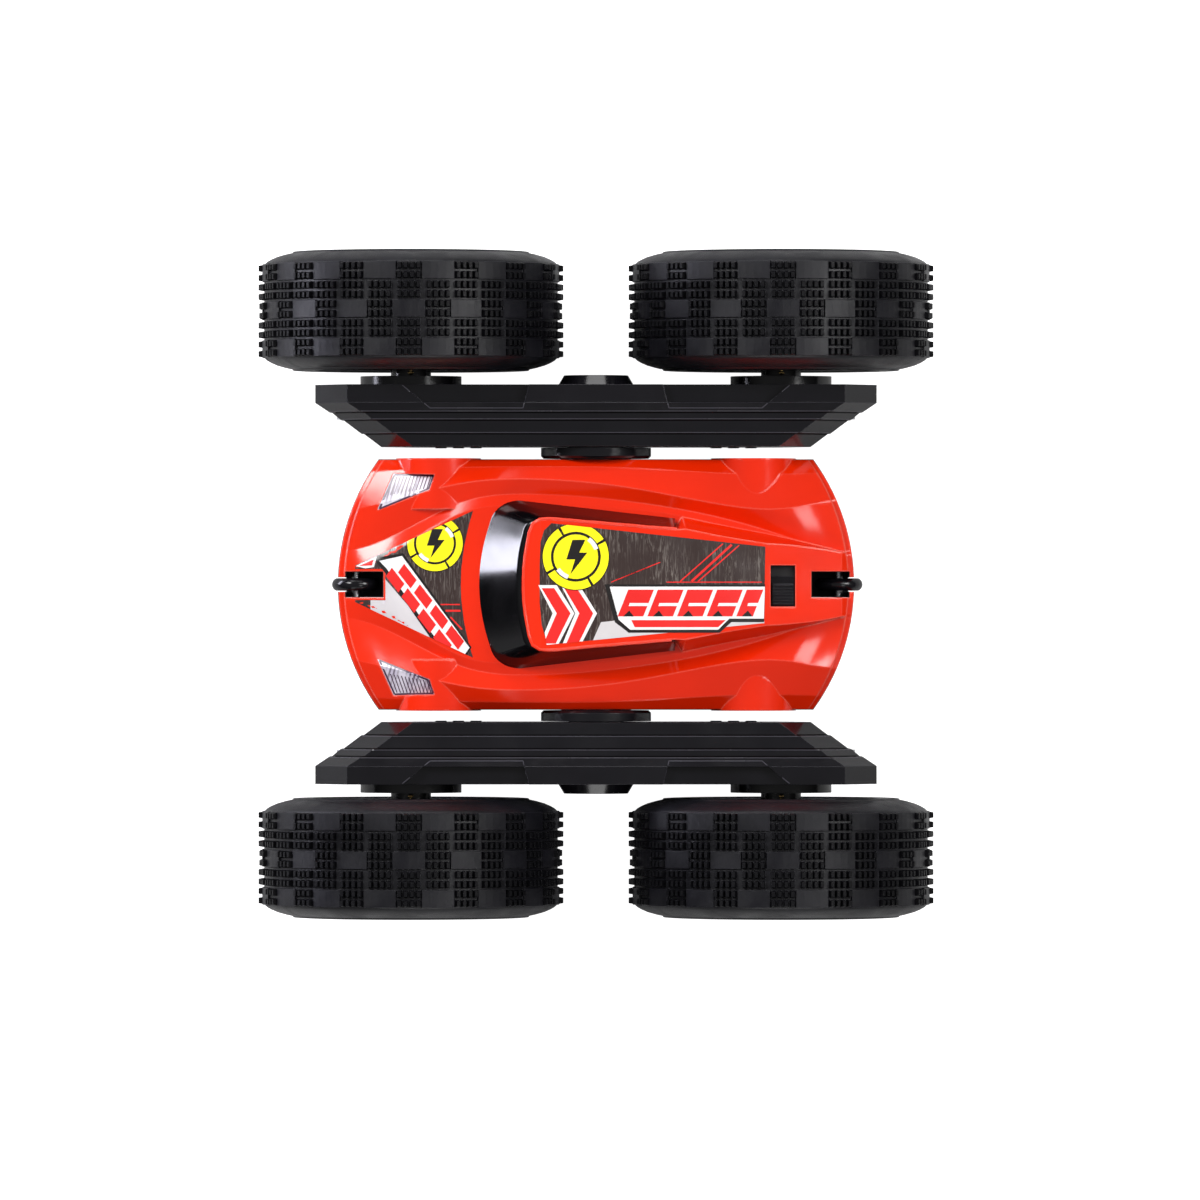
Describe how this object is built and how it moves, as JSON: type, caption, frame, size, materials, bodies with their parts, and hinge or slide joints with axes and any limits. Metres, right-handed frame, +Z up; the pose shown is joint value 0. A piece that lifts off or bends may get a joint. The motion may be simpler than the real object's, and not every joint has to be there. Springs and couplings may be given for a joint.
{
  "type": "rc stunt car",
  "caption": "Palm-wide sports car body hung between two long swinging arms, each carrying a geared pair of broad studded tyres.",
  "frame": {"origin": "on the ground, midway between the four wheels", "axes": "+X from the nose towards the tail, +Y out of one side arm, +Z up"},
  "size_m": [0.27, 0.266, 0.122],
  "materials": {
    "red_shell": "gloss",
    "black_shell": "satin",
    "black_arm": "satin",
    "tinted_window": "gloss",
    "headlamp": "gloss",
    "tyre": "matt",
    "rim": "satin",
    "steel": "satin",
    "gear_plastic": "satin",
    "inner_plastic": "matt",
    "battery_wrap": "gloss",
    "board": "satin"
  },
  "bodies": {
    "car_body": {"arm_retainer_left": "inner_plastic", "arm_retainer_right": "inner_plastic", "battery_door": "black_shell", "battery_pack": "battery_wrap", "body_screws": "steel", "cabin_windows": "tinted_window", "circuit_board": "board", "drive_motors": "steel", "gear_trays": "inner_plastic", "headlamp_lenses": "headlamp", "lower_shell": "black_shell", "pivot_drum_left": "black_arm", "pivot_drum_right": "black_arm", "roller_pins": "steel", "switch_case": "inner_plastic", "upper_shell": "red_shell"},
    "front_right_wheel": {"tyre_front_right": "tyre", "rim_front_right": "rim", "axle_front_right": "steel", "wheel_gear_front_right": "gear_plastic", "wheel_nut_front_right": "steel"},
    "idler_front_right": {"idler_gear_front_right": "gear_plastic"},
    "rear_right_wheel": {"tyre_rear_right": "tyre", "rim_rear_right": "rim", "axle_rear_right": "steel", "wheel_gear_rear_right": "gear_plastic", "wheel_nut_rear_right": "steel"},
    "idler_rear_right": {"idler_gear_rear_right": "gear_plastic"},
    "front_left_wheel": {"tyre_front_left": "tyre", "rim_front_left": "rim", "axle_front_left": "steel", "wheel_gear_front_left": "gear_plastic", "wheel_nut_front_left": "steel"},
    "idler_front_left": {"idler_gear_front_left": "gear_plastic"},
    "rear_left_wheel": {"tyre_rear_left": "tyre", "rim_rear_left": "rim", "axle_rear_left": "steel", "wheel_gear_rear_left": "gear_plastic", "wheel_nut_rear_left": "steel"},
    "idler_rear_left": {"idler_gear_rear_left": "gear_plastic"},
    "arm_right": {"arm_inner_cover_right": "black_arm", "arm_outer_cover_right": "black_arm", "arm_screws_right": "steel", "idler_pins_right": "steel"},
    "sun_right": {"drive_shaft_right": "steel", "sun_gear_right": "gear_plastic"},
    "output_right": {"output_gear_right": "gear_plastic"},
    "pinion_right": {"motor_pinion_right": "gear_plastic"},
    "arm_left": {"arm_inner_cover_left": "black_arm", "arm_outer_cover_left": "black_arm", "arm_screws_left": "steel", "idler_pins_left": "steel"},
    "sun_left": {"drive_shaft_left": "steel", "sun_gear_left": "gear_plastic"},
    "output_left": {"output_gear_left": "gear_plastic"},
    "pinion_left": {"motor_pinion_left": "gear_plastic"},
    "front_roller": {"front_roller": "black_shell"},
    "rear_roller": {"rear_roller": "black_shell"},
    "switch_cap": {"switch_cap": "black_shell"}
  },
  "joints": [
    {"name": "arm_right_swing", "type": "hinge", "parent": "car_body", "child": "arm_right", "pos_m": [0, 0.0625, 0.061], "axis": [0, 1, 0], "continuous": true},
    {"name": "front_right_wheel_spin", "type": "hinge", "parent": "arm_right", "child": "front_right_wheel", "pos_m": [-0.074, 0.109, 0.061], "axis": [0, 1, 0], "continuous": true},
    {"name": "rear_right_wheel_spin", "type": "hinge", "parent": "arm_right", "child": "rear_right_wheel", "pos_m": [0.074, 0.109, 0.061], "axis": [0, 1, 0], "continuous": true},
    {"name": "sun_right_spin", "type": "hinge", "parent": "arm_right", "child": "sun_right", "pos_m": [0, 0.0744, 0.061], "axis": [0, 1, 0], "continuous": true},
    {"name": "idler_front_right_spin", "type": "hinge", "parent": "arm_right", "child": "idler_front_right", "pos_m": [-0.034, 0.0744, 0.061], "axis": [0, 1, 0], "continuous": true},
    {"name": "idler_rear_right_spin", "type": "hinge", "parent": "arm_right", "child": "idler_rear_right", "pos_m": [0.034, 0.0744, 0.061], "axis": [0, 1, 0], "continuous": true},
    {"name": "output_right_spin", "type": "hinge", "parent": "car_body", "child": "output_right", "pos_m": [0, 0.0405, 0.061], "axis": [0, 1, 0], "continuous": true},
    {"name": "pinion_right_spin", "type": "hinge", "parent": "car_body", "child": "pinion_right", "pos_m": [0.018, 0.0405, 0.061], "axis": [0, 1, 0], "continuous": true},
    {"name": "arm_left_swing", "type": "hinge", "parent": "car_body", "child": "arm_left", "pos_m": [0, -0.0625, 0.061], "axis": [0, 1, 0], "continuous": true},
    {"name": "front_left_wheel_spin", "type": "hinge", "parent": "arm_left", "child": "front_left_wheel", "pos_m": [-0.074, -0.109, 0.061], "axis": [0, 1, 0], "continuous": true},
    {"name": "rear_left_wheel_spin", "type": "hinge", "parent": "arm_left", "child": "rear_left_wheel", "pos_m": [0.074, -0.109, 0.061], "axis": [0, 1, 0], "continuous": true},
    {"name": "sun_left_spin", "type": "hinge", "parent": "arm_left", "child": "sun_left", "pos_m": [0, -0.0744, 0.061], "axis": [0, 1, 0], "continuous": true},
    {"name": "idler_front_left_spin", "type": "hinge", "parent": "arm_left", "child": "idler_front_left", "pos_m": [-0.034, -0.0744, 0.061], "axis": [0, 1, 0], "continuous": true},
    {"name": "idler_rear_left_spin", "type": "hinge", "parent": "arm_left", "child": "idler_rear_left", "pos_m": [0.034, -0.0744, 0.061], "axis": [0, 1, 0], "continuous": true},
    {"name": "output_left_spin", "type": "hinge", "parent": "car_body", "child": "output_left", "pos_m": [0, -0.0405, 0.061], "axis": [0, 1, 0], "continuous": true},
    {"name": "pinion_left_spin", "type": "hinge", "parent": "car_body", "child": "pinion_left", "pos_m": [-0.018, -0.0405, 0.061], "axis": [0, 1, 0], "continuous": true},
    {"name": "front_roller_spin", "type": "hinge", "parent": "car_body", "child": "front_roller", "pos_m": [-0.096, 0, 0.061], "axis": [0, 1, 0], "continuous": true},
    {"name": "rear_roller_spin", "type": "hinge", "parent": "car_body", "child": "rear_roller", "pos_m": [0.097, 0, 0.061], "axis": [0, 1, 0], "continuous": true},
    {"name": "switch_slide", "type": "slide", "parent": "car_body", "child": "switch_cap", "axis": [0, 1, 0], "range_m": [0, 0.004]}
  ],
  "couplings": [
    {"joint": "rear_right_wheel_spin", "follows": "front_right_wheel_spin", "ratio": 1},
    {"joint": "idler_front_right_spin", "follows": "front_right_wheel_spin", "ratio": -0.81818},
    {"joint": "idler_rear_right_spin", "follows": "front_right_wheel_spin", "ratio": -0.81818},
    {"joint": "sun_right_spin", "follows": "front_right_wheel_spin", "ratio": 1.5},
    {"joint": "pinion_right_spin", "follows": "output_right_spin", "ratio": -2.6},
    {"joint": "rear_left_wheel_spin", "follows": "front_left_wheel_spin", "ratio": 1},
    {"joint": "idler_front_left_spin", "follows": "front_left_wheel_spin", "ratio": -0.81818},
    {"joint": "idler_rear_left_spin", "follows": "front_left_wheel_spin", "ratio": -0.81818},
    {"joint": "sun_left_spin", "follows": "front_left_wheel_spin", "ratio": 1.5},
    {"joint": "pinion_left_spin", "follows": "output_left_spin", "ratio": -2.6}
  ]
}
